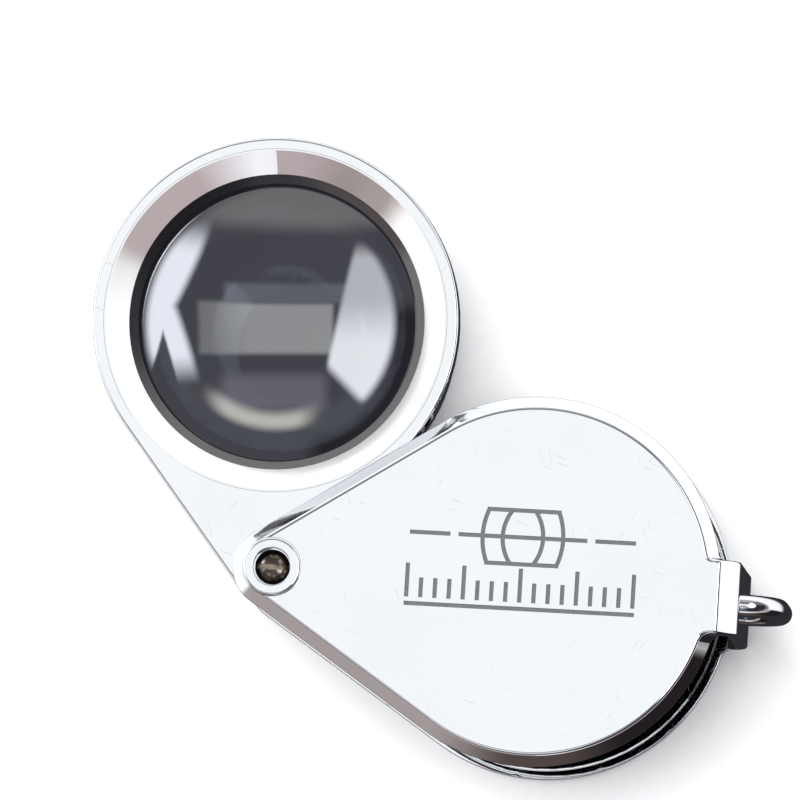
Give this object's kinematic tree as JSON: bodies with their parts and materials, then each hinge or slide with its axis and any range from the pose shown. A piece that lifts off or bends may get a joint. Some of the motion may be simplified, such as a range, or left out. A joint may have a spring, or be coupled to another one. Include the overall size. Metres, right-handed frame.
{
  "type": "folding magnifier loupe",
  "caption": "Folding pocket loupe: a chromed teardrop cover folded from sheet, with a cemented lens unit that swings out on one pivot, and a wire bail.",
  "frame": {"origin": "centre of the cover's round end, on the outer face of its lower plate", "axes": "+Z normal to the cover plates, out of the engraved plate; +X from the pivot to the strap and bail"},
  "size_m": [0.0503, 0.0437, 0.0147],
  "materials": {
    "polished_chrome": "mirror polished, fine handling scratches",
    "bezel_chrome": "polished cone with fine turning lines",
    "chrome_wire": "polished drawn wire",
    "turned_steel": "fine turned",
    "spring_steel": "bright spring temper",
    "dark_steel": "darkened, oiled",
    "bearing_brass": "machined",
    "black_anodised": "satin black anodised",
    "coated_glass": "polished, anti-reflection coated",
    "clear_glass": "polished, cemented"
  },
  "bodies": {
    "cover": {"cover_shell": "polished_chrome", "bail": "chrome_wire", "pivot_post": "turned_steel", "pivot_cup": "polished_chrome", "pivot_screw": "dark_steel", "spring_washer": "spring_steel", "thrust_washer": "turned_steel"},
    "lens_unit": {"lens_frame": "polished_chrome", "pivot_bush": "bearing_brass", "front_bezel": "bezel_chrome", "rear_bezel": "bezel_chrome", "lens_cell": "black_anodised", "retaining_ring": "black_anodised", "front_lens": "coated_glass", "centre_lens": "clear_glass", "rear_lens": "coated_glass"}
  },
  "joints": [
    {"name": "lens_swing", "type": "hinge", "parent": "cover", "child": "lens_unit", "pos_m": [-0.0186, 0, 0.0072], "axis": [0, 0, 1], "continuous": true}
  ]
}
